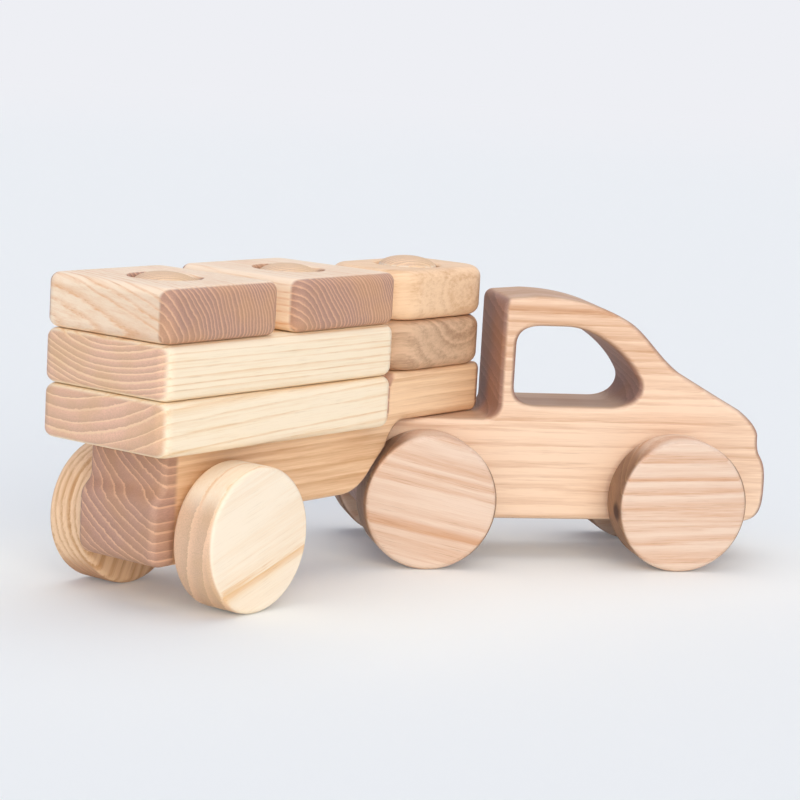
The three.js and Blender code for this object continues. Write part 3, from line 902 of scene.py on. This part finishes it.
# How each wheel was cut; pith and knot are in millimetres from the hub
WHEEL_CUTS = {
    "front": {
        "right_wheel": {
            "tone": "wheel", "grain": (1, 0, 0.02), "pith": (0, 60, -78), "ring": 5.6, "bend": 8.0,
            "contrast": 1.1, "width": 0.45, "knot": (-29.5, -40, -3.5),
        },
        "left_wheel": {
            "tone": "wheel", "grain": (1, 0, 0.1), "pith": (0, -60, -65), "ring": 4.6, "width": 0.4,
        },
    },
    "rear": {
        "right_wheel": {
            "tone": "wheel", "grain": (1, 0, -0.24), "pith": (0, 45, -90), "ring": 6.2, "bend": 8.0,
            "contrast": 1.0, "width": 0.48,
        },
        "left_wheel": {
            "tone": "wheel", "grain": (1, 0, 0.15), "pith": (0, -60, -70), "ring": 4.8, "width": 0.4,
        },
    },
    "trailer": {
        "right_wheel": {
            "tone": "pale", "grain": (1, 0, 0.34), "pith": (0, 62, 24), "ring": 7.5, "bend": 6.0,
            "contrast": 0.9, "width": 0.16, "lines": 0.1, "streak": 0.9,
        },
        "left_wheel": {
            "tone": "front", "grain": (0.45, 0, 1), "pith": (-60, -55, 0), "ring": 3.6, "width": 0.35,
            "lines": 0.25, "bite": (0.8, 1.0),
        },
    },
}


class TRUCK_OT_posts(bpy.types.Operator):
    """Turns the domed posts"""

    bl_idname = "truck.posts"
    bl_label = "Posts"

    def execute(self, context):
        s, h = sizes(), heights()
        radius, top = s.post_diameter / 2, h["post_top"]
        t = np.linspace(0, np.pi / 2, 3 * EDGE_STEPS)
        dome = list(np.stack([radius * np.cos(t), top - s.post_dome + s.post_dome * np.sin(t)], 1))
        dome[-1] = (0, top)
        seat = h["bed"] - POST_SEAT
        places = post_places()
        for name, body, bottom in (
            ("rear_post", "trailer", seat),
            ("middle_post", "trailer", seat),
            ("front_post", "kingpin", h["deck"] - KINGPIN_DEPTH),
        ):
            x = places[name]
            profile = [(0, bottom), (radius - POST_CHAMFER, bottom), (radius, bottom + POST_CHAMFER)] + dome
            pith = (x / MM + 26, 32, 0)
            material = ash(name + "_wood", in_trailer, "pale", (0, 0, 1), pith, 1.8, lines=0.3)

            def stand(points, i=x):
                return in_trailer(points + (i, 0, 0))

            turned(profile, ROUND_SIDES).piece(name + "_dowel", stand, body, [name], "dowel_ash", material)
        return {"FINISHED"}


def load_piece(name, size, corner, edge, holes, x, bottom, slot, material):
    """A board or block: a rounded slab lying flat, with a lipped round hole for each post."""
    s = sizes()
    half = s.board_thickness / 2
    shell = Shell()
    rings = [shell.band(rounded_rows(rounded_rectangle(*size, corner), half, edge))]
    wall = s.post_diameter / 2 + s.post_clearance
    for place in holes:
        rings.append(shell.band(rounded_rows(circle(place, 0, wall, ROUND_SIDES, True), half, s.hole_lip)))
    shell.cap(*[ring[0] for ring in rings])
    shell.cap(*[ring[-1] for ring in rings])
    centre = np.array([x, 0, bottom + s.seat_gap + half])
    return shell.piece(name + "_wooden", lambda p: in_trailer(p + centre), name, [name], slot, material)


# How the boards and blocks were cut
BOARD_CUT = {"fray": 0.6, "contrast": 0.8, "width": 0.2, "lines": 0.6, "bite": (0.5, 0.85)}
TOP_BLOCK_CUT = {
    "crowd": 0.027, "bend": 11.0, "wave": 45.0, "reach": 85.0, "contrast": 0.7, "bite": (0.15, 0.45),
}
FRONT_BLOCK_CUT = {"bend": 9.0, "wave": 32.0, "reach": 60.0, "fray": 0.5, "width": 0.45, "bite": (0.8, 1.0)}
FRONT_BLOCK_GRAIN = (1, -0.8, 0.1)


class TRUCK_OT_boards(bpy.types.Operator):
    """Lays the two long boards over the bed's posts"""

    bl_idname = "truck.boards"
    bl_label = "Boards"

    def execute(self, context):
        s, h = sizes(), heights()
        x = post_places()["boards"]
        holes = (-s.post_spacing / 2, s.post_spacing / 2)
        size = (s.board_length, s.board_width)
        for i, (name, grain, pith, ring) in enumerate((
            ("lower_board", (1, 0.02, 0.03), (x / MM - 60, 22, 172), 4.6),
            ("upper_board", (1, 0, 0), (x / MM, -2, 196), 2.8),
        )):
            material = ash(name + "_wood", in_trailer, "board", grain, pith, ring, **BOARD_CUT)
            level = h["bed"] + i * h["layer"]
            load_piece(name, size, s.board_corner, s.board_edge, holes, x, level, "board_ash", material)
        return {"FINISHED"}


class TRUCK_OT_blocks(bpy.types.Operator):
    """Threads the square blocks over the bed's posts and the narrow ones over the neck's"""

    bl_idname = "truck.blocks"
    bl_label = "Blocks"

    def execute(self, context):
        s, h = sizes(), heights()
        places = post_places()
        upper = h["bed"] + 2 * h["layer"]
        size = (s.top_block_length, s.board_width)
        for name, post, grain, behind, level, ring in (
            ("rear_top_block", "rear_post", (0.22, 1, 0.12), 62, 106, 9.0),
            ("middle_top_block", "middle_post", (0.05, 1, 0), 56, 98, 8.5),
        ):
            x = places[post]
            pith = (x / MM - behind, 0, level)
            material = ash(name + "_wood", in_trailer, "block", grain, pith, ring, **TOP_BLOCK_CUT)
            load_piece(name, size, s.board_corner, s.board_edge, (0.0,), x, upper, "block_ash", material)
        size = (s.front_block_length, s.front_block_width)
        edges = (s.front_block_corner, s.front_block_edge)
        for name, bottom, tone, pith, ring, contrast in (
            ("lower_front_block", h["neck_top"], "grey", (22, -24, 114), 5.0, 0.55),
            ("upper_front_block", h["neck_top"] + h["layer"], "front", (26, -26, 126), 4.6, 0.3),
        ):
            cut = {"contrast": contrast, **FRONT_BLOCK_CUT}
            material = ash(name + "_wood", in_trailer, tone, FRONT_BLOCK_GRAIN, pith, ring, **cut)
            load_piece(name, size, *edges, (0.0,), 0.0, bottom, "block_ash", material)
        return {"FINISHED"}


# The studio: lengths in metres, lamps as (direction, spread in degrees, power)
SWEEP_FRONT, SWEEP_BACK, SWEEP_TURN, SWEEP_TOP = -6.0, 20.0, 3.0, 8.0
SWEEP_SIDE = 12.0
HAZE_STARTS, HAZE_FULL, HAZE_NEAR = 2.0, 6.0, 0.12
SKY_STRENGTH = 0.42
LAMPS = {
    "key_light": ((0.05, -1.0, 0.42), 45, 1.8),
    "fill_light": ((-0.6, -0.7, 0.3), 60, 0.5),
    "top_light": ((0.1, 0.15, 1.0), 70, 1.42),
}
CAMERA_TURN = {"heading": 12.329, "tilt": -8.686, "roll": 3.252}
CAMERA_PLACE = (-248.316, -1104.977, 241.307)


def looked_at(new):
    """1 where a ray shows the background, straight, mirrored or through glass, and 0 where it lights."""
    kinds = ("Is Camera Ray", "Is Glossy Ray", "Is Transmission Ray")
    straight, mirrored, through = (new.node("ShaderNodeLightPath", output=kind) for kind in kinds)
    return straight + mirrored + through


class TRUCK_OT_stage(bpy.types.Operator):
    """Sets the sweep, the lamps and the camera"""

    bl_idname = "truck.stage"
    bl_label = "Stage"

    def execute(self, context):
        studio = context.scene.truck_studio
        # The sweep: a floor that turns up into a backdrop along a quarter circle
        t = np.linspace(0, np.pi / 2, CURVE_STEPS)
        bend = np.stack([SWEEP_BACK + SWEEP_TURN * np.sin(t), SWEEP_TURN - SWEEP_TURN * np.cos(t)], 1)
        profile = np.concatenate([[(SWEEP_FRONT, 0.0)], bend, [(SWEEP_BACK + SWEEP_TURN, SWEEP_TOP)]])
        across = np.linspace(-SWEEP_SIDE, SWEEP_SIDE, 15)
        grid = np.stack(np.broadcast_arrays(across[None], profile[:, :1], profile[:, 1:]), -1)
        ids = np.arange(grid[..., 0].size).reshape(grid.shape[:2])
        quads = np.stack([ids[:-1, :-1], ids[:-1, 1:], ids[1:, 1:], ids[1:, :-1]], -1).reshape(-1, 4)
        mesh = bpy.data.meshes.new("studio_sweep")
        mesh.from_pydata(grid.reshape(-1, 3).tolist(), [], quads.tolist())
        mesh.polygons.foreach_set("use_smooth", [True] * len(quads))
        material = bpy.data.materials.new("studio_paper")
        material.use_nodes = True
        tree = material.node_tree
        tree.nodes.clear()
        new = Wire(tree)
        paper = new.node("ShaderNodeBsdfDiffuse", inputs={"Color": rgba(studio.sweep)})
        even = new.node("ShaderNodeEmission", inputs={"Color": rgba(studio.haze), "Strength": 1.0})
        spot = new.node("ShaderNodeTexCoord", output=3)
        away = spot.vector("LENGTH", output=1).step(HAZE_STARTS, HAZE_FULL)
        share = looked_at(new) * (away * (1.0 - HAZE_NEAR) + HAZE_NEAR)
        mixed = new.node("ShaderNodeMixShader", inputs={0: share, 1: paper, 2: even})
        new.node("ShaderNodeOutputMaterial", inputs={"Surface": mixed})
        mesh.materials.append(material)
        sweep = bpy.data.objects.new("studio_sweep", mesh)
        context.scene.collection.objects.link(sweep)
        # Soft light: a broad key from the front, a weak fill from the left, a top light and a blue sky
        for name, (toward, spread, power) in LAMPS.items():
            light = bpy.data.lights.new(name, "SUN")
            light.angle = math.radians(spread)
            light.energy = power
            light.color = studio.lamp
            lamp = bpy.data.objects.new(name, light)
            lamp.matrix_world = Matrix(wood_axes(toward)).to_4x4()
            context.scene.collection.objects.link(lamp)
        world = bpy.data.worlds.new("studio_sky")
        world.use_nodes = True
        world.node_tree.nodes.clear()
        new = Wire(world.node_tree)
        sky = new.node("ShaderNodeBackground", inputs={"Color": rgba(studio.sky), "Strength": SKY_STRENGTH})
        haze = new.node("ShaderNodeBackground", inputs={"Color": rgba(studio.haze), "Strength": 1.0})
        mixed = new.node("ShaderNodeMixShader", inputs={0: looked_at(new), 1: sky, 2: haze})
        new.node("ShaderNodeOutputWorld", inputs={"Surface": mixed})
        context.scene.world = world
        context.scene.view_settings.view_transform = "Standard"
        self.camera(context, studio)
        return {"FINISHED"}

    def camera(self, context, studio):
        """Heading, tilt and roll give the camera's right, up and back axes."""
        heading, tilt, roll = (math.radians(CAMERA_TURN[key]) for key in ("heading", "tilt", "roll"))
        level_ahead = np.array([math.sin(heading), math.cos(heading)]) * math.cos(tilt)
        ahead = np.array([*level_ahead, math.sin(tilt)])
        level = np.array([math.cos(heading), -math.sin(heading), 0])
        upright = np.cross(level, ahead)
        right = math.cos(roll) * level + math.sin(roll) * upright
        up = math.cos(roll) * upright - math.sin(roll) * level
        data = bpy.data.cameras.new("photo_camera")
        data.lens = studio.lens
        data.sensor_width = 36.0
        camera = bpy.data.objects.new("photo_camera", data)
        spot = in_cab(np.array([CAMERA_PLACE]) * MM)[0]
        turn = Matrix(np.stack([right, up, -ahead], 1)).to_4x4()
        camera.matrix_world = Matrix.Translation(spot) @ turn
        context.scene.collection.objects.link(camera)
        context.scene.camera = camera


OPERATORS = (
    TRUCK_OT_cab, TRUCK_OT_trailer, TRUCK_OT_wheelsets, TRUCK_OT_posts,
    TRUCK_OT_boards, TRUCK_OT_blocks, TRUCK_OT_stage,
)


class TRUCK_PT_sidebar(bpy.types.Panel):
    """Lists the truck's sizes, tones and building steps"""

    bl_idname = "TRUCK_PT_sidebar"
    bl_label = "Stacking truck"
    bl_space_type = "VIEW_3D"
    bl_region_type = "UI"
    bl_category = "Truck"

    def draw(self, context):
        for operator in OPERATORS:
            self.layout.operator(operator.bl_idname)
        for group in (context.scene.truck_sizes, context.scene.truck_finish, context.scene.truck_studio):
            box = self.layout.box()
            for name in group.__annotations__:
                box.prop(group, name)


GROUPS = {"truck_sizes": TruckSizes, "truck_finish": TruckFinish, "truck_studio": StudioSettings}


def register():
    for item in (*GROUPS.values(), *OPERATORS, TRUCK_PT_sidebar):
        bpy.utils.register_class(item)
    for name, group in GROUPS.items():
        setattr(bpy.types.Scene, name, PointerProperty(type=group))


def unregister():
    for name in GROUPS:
        delattr(bpy.types.Scene, name)
    for item in reversed((*GROUPS.values(), *OPERATORS, TRUCK_PT_sidebar)):
        bpy.utils.unregister_class(item)


def main():
    register()
    bpy.ops.truck.cab()
    bpy.ops.truck.trailer()
    bpy.ops.truck.wheelsets()
    bpy.ops.truck.posts()
    bpy.ops.truck.boards()
    bpy.ops.truck.blocks()
    bpy.ops.truck.stage()


if __name__ == "__main__":
    main()
